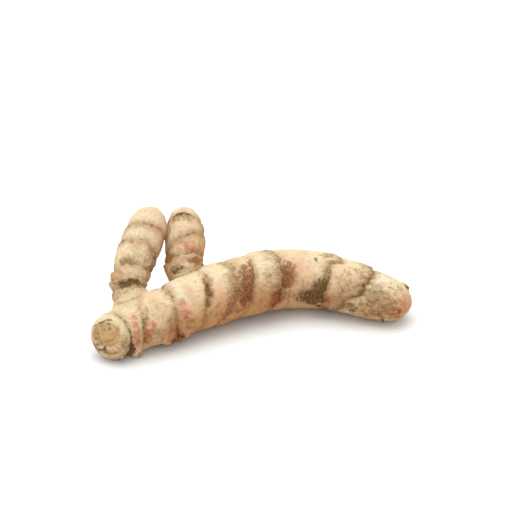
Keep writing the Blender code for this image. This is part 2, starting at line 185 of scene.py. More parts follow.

# Coloured patches by limb and mask, a few of them painted shade: place, angle, half length, half
# width round, strength.
PATCHES = {
    ("main", "rust"): (
        (34, 0, 2.8, 4.6, 0.4), (54.5, -8, 3.4, 4.6, 0.55), (44.8, 62, 1.5, 2.8, 0.85),
        (44.2, 44, 2, 3.4, 0.9), (42.8, 28, 1.7, 2.6, 0.8), (88, 14, 3, 4, 0.45),
        (24, 152, 2.6, 4.6, 0.6), (78, 166, 4, 5, 0.7), (104, 158, 2.6, 4, 0.5),
        (66, -150, 4, 5, 0.6),
    ),
    ("main", "dirt_and_shade"): (
        (127, 2, 1.5, 1.3, 0.9), (124.6, -22, 2, 1.4, 0.6), (1.6, -130, 2.6, 4.6, 0.6),
        (8.4, -26, 2.2, 6, 1), (26.6, -39, 1.5, 1.7, 0.8), (30.8, -41, 1.5, 1.7, 0.85),
        (112, -14, 6, 3, 0.5), (119, -18, 4, 2.6, 0.5), (88.6, -12, 6, 4, 0.7),
        (94, 168, 3.4, 5, 0.5), (37, 176, 1.8, 4, 0.5), (69, -172, 3, 4, 0.5),
        (43, -110, 5, 5, 0.5), (84, -100, 6, 5, 0.5),
    ),
    ("main", "sheath_and_shade"): (
        (119.5, 24, 9.5, 9, 0.9), (123, 8, 4.6, 6, 1), (33, -4, 4, 5, 0.5), (46, -2, 4, 5, 0.5),
        (22, -8, 4, 5, 0.6), (28.4, -26, 4.6, 3.4, 0.85), (97, 102, 3.4, 5, 0.9),
        (106.5, 40, 5, 7, 0.75), (66, 16, 4, 6, 0.5), (70.4, 34, 2.8, 7, 0.8),
        (80, -4, 6, 3.2, 0.7), (4.6, -8, 3.4, 8, 0.75), (125.4, 74, 1.8, 2.6, 0.8),
        (19.6, 10, 3.4, 8, 0.75), (80, 150, 6, 6, 0.7), (116, 120, 4, 6, 0.7),
        (31, 140, 5, 5, 0.6), (93.5, 12, 4, 7, 0.45), (87, 174, 5, 7, 0.5),
        (121, -170, 6, 6, 0.6),
    ),
    ("main", "fresh_and_highlight"): (
        (12, -42, 2.4, 3, 0.9), (28.4, -60, 4.4, 2.8, 1), (28.4, -26, 3.4, 1.2, 0.5),
    ),
    ("main", "scrape"): (
        (14.4, 56, 1.9, 3.2, 0.85), (13.8, 38, 2.2, 3.4, 0.95), (13, 20, 2.2, 3.4, 1),
        (12, 2, 2.1, 3.4, 1), (20.2, 28, 2.2, 3.2, 0.75), (17.8, 8, 2.2, 3.2, 0.8),
        (21.4, 106, 1.9, 2.2, 1), (33, 36, 2.2, 3.4, 0.75), (32.6, 22, 2.2, 3.6, 0.95),
        (128.4, 28, 3, 4.4, 0.5), (33, 165, 2.2, 4, 0.7), (55, 152, 1.8, 3, 0.6),
        (90.5, -158, 2.2, 3.6, 0.6), (118, 152, 2, 3, 0.5), (128, -100, 2, 2.4, 0.6),
    ),
    ("main", "amber"): (
        (12, -4, 1.6, 2.8, 0.8), (17.2, 0, 1.8, 3, 0.65), (16.2, -14, 1.8, 2.6, 0.95),
        (32.6, 16, 1.2, 1.4, 0.7), (28.6, -41, 4.2, 3.2, 0.95), (101, -9, 2, 3, 0.9),
        (126, -8, 3.8, 2.8, 0.85), (72.5, -8, 5, 2.8, 0.7), (47, -140, 2, 3, 0.7),
        (13, 178, 2, 3, 0.7),
    ),
    ("main", "blush"): (
        (47.5, 30, 5, 9, 0.9), (36, 62, 3.5, 7, 0.6), (67, 20, 4.5, 7, 0.6), (85, 60, 7, 9, 1),
        (104, 40, 6, 9, 1), (115, 66, 6, 7, 0.9), (127.5, 38, 4, 7, 1), (24, 100, 4, 4, 0.7),
        (85, 150, 8, 9, 0.8), (112, 170, 6, 8, 0.8), (58, 160, 4, 6, 0.6), (20, 170, 5, 7, 0.7),
        (92, 140, 4, 6, 0.8),
    ),
    ("left", "rust"): ((28, -118, 2.4, 4.4, 0.6),),
    # The wide band patch at 28 mm and 4 degrees is painted shadow cast by the neighbouring limbs.
    ("left", "sheath_and_shade"): (
        (16.6, 96, 2.4, 9, 0.6), (25.9, 92, 2, 5.4, 0.95), (32.5, 94, 1.3, 1.3, 1),
        (28, 4, 7, 6, 0.95), (32.6, 150, 1.6, 3.6, 1), (31, 28, 2.6, 2.2, 0.9),
        (27, 55, 5, 6, 0.4), (45.6, -60, 3.4, 5.4, 0.9), (49.6, -100, 1.6, 1.8, 0.9),
        (40.5, -140, 2.4, 5, 0.7), (24, -160, 3, 8, 0.7), (35, -130, 3, 6, 0.6),
    ),
    ("left", "fresh_and_highlight"): ((35, 96, 3, 5, 0.8), (48, -130, 2, 3, 0.8)),
    ("left", "scrape"): (
        (20.4, 150, 2.4, 5, 0.75), (34, -98, 2, 4, 0.6), (46.4, -98, 2, 1.8, 0.8),
    ),
    ("left", "blush"): (
        (46, 80, 6, 9, 0.9), (43, 34, 6, 6, 1), (35, 84, 3, 5, 0.8), (20.6, 96, 2, 4, 0.6),
        (33.5, 50, 3.5, 5, 0.8), (44, -100, 5, 8, 0.8), (45, 150, 4, 6, 0.9),
    ),
    ("right", "rust"): (
        (18.4, 58, 2.2, 4.8, 0.9), (38.4, 98, 1.6, 4.4, 0.5), (31, -105, 2.2, 4, 0.5),
    ),
    ("right", "dirt_and_shade"): ((14.5, 116, 2.8, 4, 0.7),),
    ("right", "sheath_and_shade"): (
        (30, 150, 3, 3, 0.6), (38.4, -120, 3, 5, 0.9), (41.6, -60, 1.6, 1.8, 0.9),
        (28, -170, 3, 6, 0.7), (22, 8, 5, 4, 0.5), (38, -80, 2.6, 5, 0.5),
    ),
    ("right", "fresh_and_highlight"): ((41, -90, 2, 3, 0.8),),
    ("right", "scrape"): (
        (24.2, 70, 2.8, 5, 0.75), (37, -82, 1.8, 2.4, 0.7), (21, -60, 2, 3, 0.7),
    ),
    ("right", "amber"): (
        (20, 150, 2.8, 3.2, 1), (18.2, 60, 1.4, 2.6, 0.5), (22, 64, 1.6, 4.8, 0.6),
    ),
    ("right", "blush"): (
        (39, 80, 6, 8, 0.95), (22.5, 115, 2.5, 3, 0.7), (30, 70, 4, 6, 0.9), (40, 170, 4, 7, 0.9),
        (38, -100, 4, 7, 0.6),
    ),
    ("bud", "sheath_and_shade"): ((10.5, 120, 2, 4, 0.8), (6.5, 60, 2, 5, 0.7)),
    ("bud", "blush"): ((12, 90, 3, 5, 0.8),),
}

# Stains that follow a ring's ragged edge, some of them painted shade, by limb and ring: mask, from
# and to in millimetres beyond the edge, angle, half width in degrees, strength.
RING_STAINS = {
    ("main", 6.6): (
        ("dirt_and_shade", 0, 1.2, 6, 34, 0.8), ("dirt_and_shade", 0, 3.6, -30, 30, 1),
        ("sheath_and_shade", -1.6, 3, -20, 40, 0.8),
    ),
    # Painted shade: the band just beyond this ring darkens the start of the next stretch.
    ("main", 16.3): (("sheath_and_shade", 0.2, 2.8, 22, 44, 0.85),),
    ("main", 29.2): (("sheath_and_shade", -4, 0.2, 0, 40, 0.6),),
    ("main", 40.6): (("sheath_and_shade", 0.2, 3, 50, 40, 0.7), ("rust", 0.3, 3.4, 170, 36, 0.6)),
    ("main", 51.8): (("sheath_and_shade", -3.4, 1.2, 30, 70, 0.9), ("sheath_and_shade", -5, -0.1, -160, 60, 0.8)),
    ("main", 60): (("sheath_and_shade", 0.3, 2.4, 30, 50, 0.4), ("rust", -7.4, -0.1, 37, 46, 1)),
    ("main", 71.5): (
        ("sheath_and_shade", 0.4, 9, 36, 36, 0.45), ("rust", 0.4, 7.6, 38, 30, 0.95),
        ("rust", -4.6, 3, -6, 22, 0.9), ("rust", 0.4, 5, 160, 40, 0.7),
    ),
    ("main", 98): (
        ("dirt_and_shade", -7.5, -0.2, 10, 30, 0.8), ("dirt_and_shade", -13, -3, -8, 24, 0.75),
        ("sheath_and_shade", -8, -0.1, 170, 60, 0.8),
    ),
    ("main", 107.5): (("dirt_and_shade", -0.8, 0.4, 60, 70, 0.45),),
    ("left", 12.6): (("sheath_and_shade", 0.3, 2.4, 70, 70, 0.5),),
    ("left", 15.4): (("dirt_and_shade", -1.1, 1.8, 90, 50, 1),),
    ("left", 22.8): (("sheath_and_shade", 0.6, 3.6, 92, 34, 0.9),),
    ("left", 30.6): (("sheath_and_shade", -4.5, -0.1, -120, 60, 0.8),),
    ("left", 38.2): (("dirt_and_shade", -0.6, 0.4, 80, 50, 0.4), ("rust", 0.4, 4.4, -120, 34, 0.8)),
    # Painted shade in the double crease of this ring.
    ("right", 25.5): (("dirt_and_shade", -0.3, 0.5, 66, 40, 0.5), ("dirt_and_shade", -0.6, 0.8, -120, 60, 0.5)),
    # Painted shadow under the proud rim of the cap: the dark and the band just before this ring's
    # edge.
    ("right", 33.5): (
        ("dirt_and_shade", -1.8, 0.1, 100, 34, 0.75), ("rust", 0.4, 3.6, -70, 34, 0.8),
        ("sheath_and_shade", -4.2, -0.1, 95, 40, 0.8),
    ),
}
# Where an old sheath's edge on the main limb reaches ahead, by ring: angle, half width, reach.
SHEATH_LOBES = {
    98: ((100, 22, 3.4), (22, 14, 1.8)),
    107.5: ((84, 14, 1.6), (8, 16, -2)),
}

# Resolution of the fused skin, in millimetres.
VOXEL = 0.425
CORE_ROW_STEP = 0.6
CORE_COLUMNS = 96
# The crease between two limbs: how wide, how often and how strongly it is smoothed, how soon
# one limb's skin takes over from the other's, and the shift between their grains.
JOINT_BLEND = 1.6
JOINT_ROUNDS = 26
JOINT_PULL = 0.5
LIMB_BLEND = 0.9
GRAIN_SHIFT = 40.0

# Rounds, step and block size of the search for a point's place, and the stride of its first guess.
LOCATE_ROUNDS = 14
LOCATE_PULL = 0.8
LOCATE_BLOCK = 4000
LOCATE_STRIDE = 4

NOISE_SEED = 11
NOISE_CELLS = 256
NOISE_GAIN = 1.6
OCTAVE_SHIFT = 17.3


class Noise:
    """Smooth random field in space, about -1 to 1, with one unit from bump to bump."""

    def __init__(self, seed):
        rng = np.random.default_rng(seed)
        self.order = rng.permutation(NOISE_CELLS)
        slopes = rng.normal(size=(NOISE_CELLS, 3))
        self.slopes = slopes / np.linalg.norm(slopes, axis=1, keepdims=True)

    def once(self, points):
        cell = np.floor(points).astype(int)
        part = points - cell
        ease = part**3 * (part * (part * 6.0 - 15.0) + 10.0)
        total = np.zeros(len(points))
        for dx in (0, 1):
            for dy in (0, 1):
                for dz in (0, 1):
                    step = np.array((dx, dy, dz))
                    x, y, z = ((cell + step) % NOISE_CELLS).T
                    mark = self.order[(self.order[x] + y) % NOISE_CELLS]
                    mark = self.order[(mark + z) % NOISE_CELLS]
                    lean = np.sum(self.slopes[mark] * (part - step), axis=1)
                    share = np.where(step, ease, 1.0 - ease).prod(axis=1)
                    total += lean * share
        return total * NOISE_GAIN

    def __call__(self, points, octaves=1):
        total = np.zeros(len(points))
        size = 1.0
        for octave in range(octaves):
            total += size * self.once(points / size + OCTAVE_SHIFT * octave)
            size *= 0.5
        return total


noise = Noise(NOISE_SEED)


def rise(value, low, high):
    """0 below low and 1 above high, with a smooth step between."""
    t = np.clip((value - low) / (high - low), 0.0, 1.0)
    return t * t * (3.0 - 2.0 * t)


def fall(value, low, high):
    """1 below low and 0 above high, with a smooth step between."""
    return 1.0 - rise(value, low, high)


def ridge(value, middle, width):
    """A bell: 1 at the middle, falling off to both sides."""
    return np.exp(-(((value - middle) / width) ** 2))


def turn_between(angle, degrees):
    """Signed angle from a direction given in degrees."""
    return (angle - math.radians(degrees) + math.pi) % (2 * math.pi) - math.pi


def spot_distance(place, angle, radius, at, degrees, size):
    """Distance on the skin from a spot, in shares of the spot's size."""
    return np.hypot(place - at, turn_between(angle, degrees) * radius) / size


def line_distance(points, run):
    """Distance of flat points from the stretch between the origin and run."""
    share = np.clip(points @ run / (run @ run), 0.0, 1.0)
    return np.linalg.norm(points - share[:, None] * run, axis=1)


class Limb:
    """One stretch of rhizome: its smooth centre line, rings, knobs and end caps."""

    def __init__(self, name, line, rings, knobs, caps, wander):
        self.name = name
        self.rings = rings
        self.knobs = knobs
        self.old_cap, self.young_cap = caps
        self.wander = wander
        self.samples = self.smooth_line(np.array(line))
        strides = np.linalg.norm(np.diff(self.samples[:, :3], axis=0), axis=1)
        self.distance = np.concatenate(([0.0], np.cumsum(strides)))
        self.length = self.distance[-1]

    @staticmethod
    def smooth_line(knots):
        """Points of a Catmull-Rom curve through the knots, radius included."""
        padded = np.vstack([2 * knots[0] - knots[1], knots, 2 * knots[-1] - knots[-2]])
        t = np.linspace(0.0, 1.0, LINE_STEPS, endpoint=False)[:, None]
        spans = []
        for a, b, c, d in zip(padded, padded[1:], padded[2:], padded[3:]):
            bend = (2 * a - 5 * b + 4 * c - d) * t**2 + (3 * b - a - 3 * c + d) * t**3
            spans.append(0.5 * (2 * b + (c - a) * t + bend))
        return np.vstack([*spans, knots[-1:]])

    def line_at(self, place):
        """Centre, front direction, up direction and radius of the limb at a place."""
        def read(where, column):
            return np.interp(where, self.distance, self.samples[:, column])

        centre = np.stack([read(place, k) for k in range(3)], axis=-1)
        before = np.clip(place - AIM_REACH, 0.0, self.length)
        after = np.clip(place + AIM_REACH, 0.0, self.length)
        along = np.stack([read(after, k) - read(before, k) for k in range(3)], axis=-1)
        along /= np.linalg.norm(along, axis=-1, keepdims=True)
        up = np.array([0.0, 0.0, 1.0]) - along * along[..., 2:]
        up /= np.linalg.norm(up, axis=-1, keepdims=True)
        return centre, np.cross(along, up), up, read(place, 3)

    def end_factor(self, place):
        """1 along the limb, falling to 0 at both ends in a rounded cap."""
        length, blunt = self.old_cap
        old = np.clip(1.0 - place / length, 0.0, 1.0)
        factor = (1.0 - old**blunt) ** (1.0 / blunt)
        length, blunt = self.young_cap
        young = np.clip(1.0 - (self.length - place) / length, 0.0, 1.0)
        return factor * (1.0 - young**blunt) ** (1.0 / blunt)

    @staticmethod
    def ring_course(ring, angle):
        """How far a ring runs ahead of its place at each angle: its lean and its ragged edge."""
        at, lean_front, lean_top, ragged = ring[:4]
        course = lean_front * np.cos(angle) + lean_top * np.sin(angle)
        course = course + ragged * (0.6 * np.sin(3 * angle + at) + 0.4 * np.sin(7 * angle - at))
        return course

    def knob_relief(self, place, angle, radius):
        """Rounded buds, root stubs and pits."""
        relief = np.zeros_like(place)
        for at, degrees, size, height in self.knobs:
            apart = spot_distance(place, angle, radius, at, degrees, size)
            relief += height * np.exp(-(apart**2) * KNOB_STEEPNESS)
        return relief

    def wander_relief(self, place, angle, radius):
        """Slow unevenness, so that no stretch is a turned shape."""
        a, b, c = self.wander
        waves = 0.0
        for wave, (one, other) in zip(WANDER_WAVES, ((a, b), (c, -a), (b, c))):
            size, along, turns, twist = wave
            round_it = np.cos(turns * angle + other + twist * place)
            waves = waves + size * np.sin(along * place + one) * round_it
        return waves * radius * BARREL_SWELL

    def core_reach(self, place, angle, radius):
        """Distance of the smooth core's skin from the centre line: no ring edges yet."""
        relief = self.knob_relief(place, angle, radius) + self.wander_relief(place, angle, radius)
        for ring in self.rings:
            beyond = place - ring[0] - self.ring_course(ring, angle)
            relief -= ring[5] * WAIST_SHARE * ridge(beyond, 0.0, WAIST_WIDTH)
        fade = self.end_factor(place)
        return radius * fade + relief * np.minimum(1.0, fade * CAP_RELIEF)

    def stand_off(self, place, degrees, lift):
        """Skin point and a direction that stands off the limb by an angle: 90 is straight out."""
        angle = np.radians(np.array([degrees, degrees]))
        ahead = self.core(np.array([place, place + 0.5]), angle)
        _, front, up, _ = self.line_at(np.array(place))
        outward = math.cos(angle[0]) * front + math.sin(angle[0]) * up
        along = (ahead[1] - ahead[0]) / np.linalg.norm(ahead[1] - ahead[0])
        stand = math.radians(lift)
        return ahead[0], math.sin(stand) * outward + math.cos(stand) * along

    def core(self, place, angle):
        """Points of the smooth core in millimetres."""
        centre, front, up, radius = self.line_at(place)
        reach = self.core_reach(place, angle, radius)[..., None]
        return centre + reach * (np.cos(angle)[..., None] * front + np.sin(angle)[..., None] * up)

    def build_core(self):
        """A closed UV sphere drawn out along the centre line."""
        rows = int(self.length / CORE_ROW_STEP)
        cage = bmesh.new()
        bmesh.ops.create_uvsphere(cage, u_segments=CORE_COLUMNS, v_segments=rows, radius=1.0)
        points = np.array([vertex.co for vertex in cage.verts])
        place = (1.0 - np.clip(points[:, 2], -1.0, 1.0)) / 2 * self.length
        angle = np.arctan2(points[:, 1], points[:, 0])
        for vertex, point in zip(cage.verts, self.core(place, angle)):
            vertex.co = point
        mesh = bpy.data.meshes.new(f"{self.name}_core")
        cage.to_mesh(mesh)
        cage.free()
        return mesh

    def locate(self, points):
        """Place, angle, radius, distance from the line and from the core of each point."""
        place = np.empty(len(points))
        guesses = self.samples[None, ::LOCATE_STRIDE, :3]
        for start in range(0, len(points), LOCATE_BLOCK):
            block = slice(start, start + LOCATE_BLOCK)
            nearest = np.argmin(((points[block, None, :] - guesses) ** 2).sum(axis=2), axis=1)
            place[block] = self.distance[::LOCATE_STRIDE][nearest]
        for _ in range(LOCATE_ROUNDS):
            centre, front, up, _ = self.line_at(place)
            ahead = ((points - centre) * np.cross(up, front)).sum(axis=1)
            place = np.clip(place + LOCATE_PULL * ahead, 0.0, self.length)
        centre, front, up, radius = self.line_at(place)
        offset = points - centre
        ahead = (offset * np.cross(up, front)).sum(axis=1)
        across, over = (offset * front).sum(axis=1), (offset * up).sum(axis=1)
        angle = np.arctan2(over, across)
        spread = np.hypot(across, over)
        apart = np.hypot(spread - self.core_reach(place, angle, radius), ahead)
        return place, angle, radius, spread, apart


# Each limb: its name, line, rings and knobs, how its ends close (length of the rounded end and how
# blunt it is; 2 is an ellipse), and the phases of its slow unevenness.
LIMBS = (
    ("main", MAIN_LINE, MAIN_RINGS, MAIN_KNOBS, ((7.5, 2.6), (8, 2.2)), (0.4, 1.1, 2.3)),
    ("left", LEFT_FINGER_LINE, LEFT_FINGER_RINGS, LEFT_FINGER_KNOBS, ((4, 2), (8.5, 2.1)),
     (1.7, 0.2, 0.9)),
    ("right", RIGHT_FINGER_LINE, RIGHT_FINGER_RINGS, RIGHT_FINGER_KNOBS, ((4, 2), (8.5, 2.1)),
     (2.9, 1.6, 0.1)),
    ("bud", REAR_BUD_LINE, REAR_BUD_RINGS, (), ((4, 2), (4.5, 2)), (0.8, 2.0, 1.2)),
)


def root_stubs():
    """Place, angle, radius and length of every broken root."""
    rng = random.Random(STUB_SEED)
    stubs = list(SEEN_ROOT_STUBS)
    for ring in MAIN_RINGS[1:]:
        ring = PART_RINGS.get(ring[0], ring)
        for middle in HIDDEN_STUB_ANGLES:
            degrees = middle + rng.uniform(-STUB_ANGLE_SPREAD, STUB_ANGLE_SPREAD)
            edge = ring[0] + float(Limb.ring_course(ring, math.radians(degrees)))
            place = edge - rng.uniform(*STUB_BEFORE_EDGE)
            radius, length = rng.uniform(*STUB_RADIUS), rng.uniform(*STUB_LENGTH)
            stubs.append((round(place, 1), round(degrees), round(radius, 2), round(length, 2)))
    return stubs


ROOT_STUBS = root_stubs()

# A ring's sheath and groove: how fast the step fades, and the groove's middle and width.
SHEATH_FADE = 3.6
GROOVE = (0.75, 1.2)
# Relief of the skin, in millimetres.
EDGE_SHARP = 0.22
LIP_HEIGHT = 0.2
LIP = (-0.55, 0.5)
LIP_FRAY = (-0.4, 0.5)
FIBRE_HEIGHT = 0.06
WRINKLE_HEIGHT = 0.10
STRIPE_HEIGHT = 0.04
LUMP_HEIGHT = 0.24
PEBBLE_HEIGHT = 0.13
SCRAPE_SINK = 0.16
# Noise: radius of the circle that a ring's noise runs on, sizes of bumps in millimetres, and
# stretches along and across the grain.
SPIN_RADIUS = 10.0
FRAY_BUMP, FINE_FRAY_BUMP, FRAY_SHARE, FINE_FRAY_SHARE = 2.6, 0.9, 0.9, 0.45
BACK_BUMP, SOIL_AND_SHADOW_BUMP, TEAR_BUMP, PATCH_BUMP = 3.5, 2.2, 1.5, 1.7
SCAR_BUMP, CRUMB_BUMP, LUMP_BUMP, PEBBLE_BUMP = 1.4, 0.9, 5.0, 1.6
FIBRE_GRAIN, WRINKLE_GRAIN = (0.16, 1.3, 1.3), (1.5, 0.10, 0.10)
STRIPE_GRAIN, CREASE_GRAIN = (0.25, 1.4, 1.4), (1.3, 0.16, 0.16)
# Round a ring's edge, in millimetres beyond it: where fibres and wrinkles gather, the thin line
# that fibres grow on, soil with painted shadow and painted shade in the crease, and where the
# fresh pale skin with its painted highlight begins and ends.
NEAR_EDGE = (-1.0, 2.6)
EDGE_LINE = (-0.15, 0.2)
CREASE_SOIL_AND_SHADOW = (0.45, 0.5)
CREASE_SHADE = (0.2, 2.0)
FRESH_AND_HIGHLIGHT_START, FRESH_AND_HIGHLIGHT_STOP = (0.7, 1.6), (2.5, 8.5)
BAND_FADE = 1.7
# Fading edges of lobes and patches, in shares of their size, and a stain's jagged outline.
LOBE_SIDES, PATCH_EDGE = (0.35, 1.1), (0.1, 1.35)
STAIN_SIDES, STAIN_TAPER, STAIN_SOFT, STAIN_JAG = (0.6, 1.2), 1.15, 0.4, 0.9
# Root scars, the soil round stubs and the stained foot of the last leaf scale, in shares of size.
SCAR_RIM, SCAR_PIT, SCAR_INSIDE, STUB_SOIL = (1.0, 0.42), (0.0, 0.6), (0.2, 1.0), (0.7, 1.6)
SCALE_FOOT_AHEAD, SCALE_FOOT_LONG, SCALE_FOOT_WIDE = 2.0, 2.6, 1.6
SCALE_STAIN, SCALE_SOIL = (0.7, 1.2), (0.5, 1.2)

# The scar where the root was broken off, a flat face cut into the old end: place and angle of
# its centre, how far it is sunk, its tilt, radius, shoulder and hollow, and the depth and radius
# that the cut reaches.
DISC_PLACE = (0.45, 68.0)
DISC_SINK = 0.8
DISC_TILT = 28.0
DISC_RADIUS = 5.5
DISC_SHOULDER = 1.6
DISC_HOLLOW = 0.35
DISC_REACH = (3.0, 12.0)
# Beyond the scar's radius: middle and width of its rim and of the soil round it.
DISC_RIM, DISC_MOAT = (0.5, 0.5), (1.3, 0.45)
# Across and up in the scar's own face: a smaller scar's middle and half sizes, and a dark arc.
SMALL_SCAR = (-2.9, -4.2, 1.9, 1.45)
CRESCENT, UNDERLINE = (1.0, 0.2), (1.4, 0.14)
DISC_ARC = np.array(((-6.8, 1.6), (-4.1, 3.3), (-1.5, 5.0), (0.2, 5.3)))
ARC_WIDTH = 0.35
# Folds of skin at the lower right: direction, inner and outer fade, waves round.
FOLD_TURN, FOLD_IN, FOLD_OUT, FOLD_WAVES = 48.0, (5.2, 6.2), (8.5, 9.5), 22.0
# Heights of the rim, crescent, lines, folds and roughness.
RIM_LIFT, CRESCENT_LIFT, LINE_SINK, FOLD_LIFT, ROUGH_LIFT = 0.18, 0.3, 0.2, 0.12, 0.08
# The worn tan middle: half sizes, and how its edge fades.
WORN_SIZE, WORN_EDGE = (5.7, 5.0), (0.8, 1.12)


def deepen(out, mask, value):
    out[mask] = np.maximum(out[mask], value)


def ring_edge(limb, ring, place, angle, spin):
    """Distance beyond a ring's ragged edge, and the ragged edge's own noise."""
    at, ragged = ring[0], ring[3]
    fray = noise(spin / FRAY_BUMP + at) * FRAY_SHARE
    fray += noise(spin / FINE_FRAY_BUMP - at) * FINE_FRAY_SHARE
    beyond = place - at - limb.ring_course(ring, angle) - ragged * fray
    for degrees, half, ahead in SHEATH_LOBES.get(at, ()):
        turn = turn_between(angle, degrees) / math.radians(half)
        beyond -= ahead * fall(np.abs(turn) + 0.3 * fray, *LOBE_SIDES)
    return beyond, fray


def stain_field(stain, beyond, angle, tear, out):
    """Adds a jagged stain that keeps to a stretch before or beyond a ring's edge."""
    mask, start, stop, degrees, half, strength = stain
    turn = np.abs(turn_between(angle, degrees)) / math.radians(half)
    taper = np.sqrt(np.clip(STAIN_TAPER - turn**2, 0.02, 1.0))
    soft = STAIN_SOFT * (stop - start) * taper
    jag = STAIN_JAG * tear
    low_end = rise(beyond, start - 0.1, start + 0.3)
    if start < 0.0:
        low_end = rise(beyond + jag - start * taper, -soft, soft)
    high_end = fall(beyond, stop - 0.1, stop + 0.3)
    if stop >= 0.6:
        high_end = fall(beyond + jag - stop * taper, -soft, soft + 0.2)
    sides = fall(turn + 0.45 * tear, *STAIN_SIDES)
    deepen(out, mask, strength * sides * low_end * high_end)


def ring_fields(limb, place, angle, grain, out):
    """Adds each ring's relief and masks: a fibrous sheath up to a ragged edge, then a crease with
    painted shade and a pale band with a painted highlight.
    """
    spin = np.stack([np.cos(angle), np.sin(angle), np.zeros_like(angle)], axis=1) * SPIN_RADIUS
    fibre = noise(grain * FIBRE_GRAIN, 2)
    wrinkle = noise(grain * WRINKLE_GRAIN + 5.0)
    tear = noise(grain / TEAR_BUMP + 31.0, 3)
    for ring in limb.rings:
        at, _, _, _, drop, groove, reach, sheath_and_shade, crease, fresh_and_highlight = ring
        beyond, fray = ring_edge(limb, ring, place, angle, spin)
        before = rise(-beyond, -EDGE_SHARP, EDGE_SHARP)
        sheath = np.exp(-np.abs(beyond) / SHEATH_FADE)
        near = np.exp(-np.abs(beyond - NEAR_EDGE[0]) / NEAR_EDGE[1])
        lip = ridge(beyond, *LIP) * rise(fray, *LIP_FRAY)
        out["relief"] += drop * sheath * (1.5 * before - 0.5)
        out["relief"] -= groove * ridge(beyond, *GROOVE)
        out["relief"] += LIP_HEIGHT * lip * min(1.0, abs(drop) * 3)
        out["relief"] += FIBRE_HEIGHT * sheath_and_shade * fibre * near * before
        out["relief"] += WRINKLE_HEIGHT * wrinkle * near
        deepen(out, "edge", ridge(beyond, *EDGE_LINE))
        back = reach * (1.0 + 0.6 * noise(spin / BACK_BUMP + 2 * at))
        worn = np.clip(1.0 + beyond / (BAND_FADE * back), 0.0, 1.0) * before
        deepen(out, "sheath_and_shade", sheath_and_shade * worn)
        # Soil and painted shadow in a broken dark line at the foot of the sheath's edge, and
        # painted shade round the crease.
        uneven = 0.35 + 0.65 * rise(noise(spin / SOIL_AND_SHADOW_BUMP + 3 * at), -0.45, 0.35)
        deepen(out, "dirt_and_shade", 0.8 * crease * uneven * ridge(beyond, *CREASE_SOIL_AND_SHADOW))
        deepen(out, "shade", crease * ridge(beyond, *CREASE_SHADE))
        # Fresh pale skin beyond the crease, with a painted highlight on the rim there.
        deepen(out, "fresh_and_highlight", fresh_and_highlight * rise(beyond, *FRESH_AND_HIGHLIGHT_START) * fall(beyond, *FRESH_AND_HIGHLIGHT_STOP))
        for stain in RING_STAINS.get((limb.name, at), ()):
            stain_field(stain, beyond, angle, tear, out)


def patch_fields(limb, place, angle, radius, grain, out):
    """Adds the coloured patches, with edges broken up by noise."""
    tear = noise(grain / PATCH_BUMP, 3)
    for mask in FIELDS[2:]:
        for at, degrees, along, around, strength in PATCHES.get((limb.name, mask), ()):
            apart = np.hypot((place - at) / along, turn_between(angle, degrees) * radius / around)
            deepen(out, mask, strength * fall(apart + 0.5 * tear, *PATCH_EDGE))


def scar_fields(place, angle, radius, rough, out):
    """Adds the main limb's root scars, the soil round its stubs and the leaf scale's foot."""
    for at, degrees, size, rim, pit, inside in ROOT_SCARS:
        apart = spot_distance(place, angle, radius, at, degrees, size)
        apart = np.maximum(apart + 0.28 * rough, 0.0)
        edge = ridge(apart, *SCAR_RIM) * (0.7 + 0.6 * rough)
        out["relief"] += rim * edge
        out["relief"] -= pit * ridge(apart, *SCAR_PIT)
        deepen(out, "fresh_and_highlight", 0.6 * edge)
        deepen(out, inside, 0.8 * fall(apart, *SCAR_INSIDE))
    for at, degrees, size, _ in ROOT_STUBS:
        apart = spot_distance(place, angle, radius, at, degrees, size)
        deepen(out, "dirt_and_shade", 0.85 * fall(apart + 0.3 * rough, *STUB_SOIL))
    at, degrees = TIP_SCALE[:2]
    along = (place - at - SCALE_FOOT_AHEAD) / SCALE_FOOT_LONG
    apart = np.hypot(along, turn_between(angle, degrees) * radius / SCALE_FOOT_WIDE)
    deepen(out, "sheath_and_shade", fall(apart, *SCALE_STAIN))
    deepen(out, "dirt_and_shade", 0.55 * fall(apart + 0.4 * rough, *SCALE_SOIL))


def crack_fields(limb, place, angle, radius, rough, out):
    """Adds short cracks, darkened with painted shade in their grooves."""
    for at, degrees, to, to_degrees, width, depth, dark in CRACKS.get(limb.name, ()):
        run = np.array((to - at, math.radians(to_degrees - degrees) * SPIN_RADIUS))
        here = np.stack([place - at, turn_between(angle, degrees) * radius], axis=1)
        notch = ridge(line_distance(here, run) + 0.4 * rough, 0.0, width)
        out["relief"] -= depth * notch
        deepen(out, "dirt_and_shade", dark * notch)


# The first two fields shape the mesh, the others colour it.
FIELDS = (
    "edge", "relief", "sheath_and_shade", "rust", "scrape", "amber", "blush", "dirt_and_shade", "shade", "fresh_and_highlight", "disc",
)


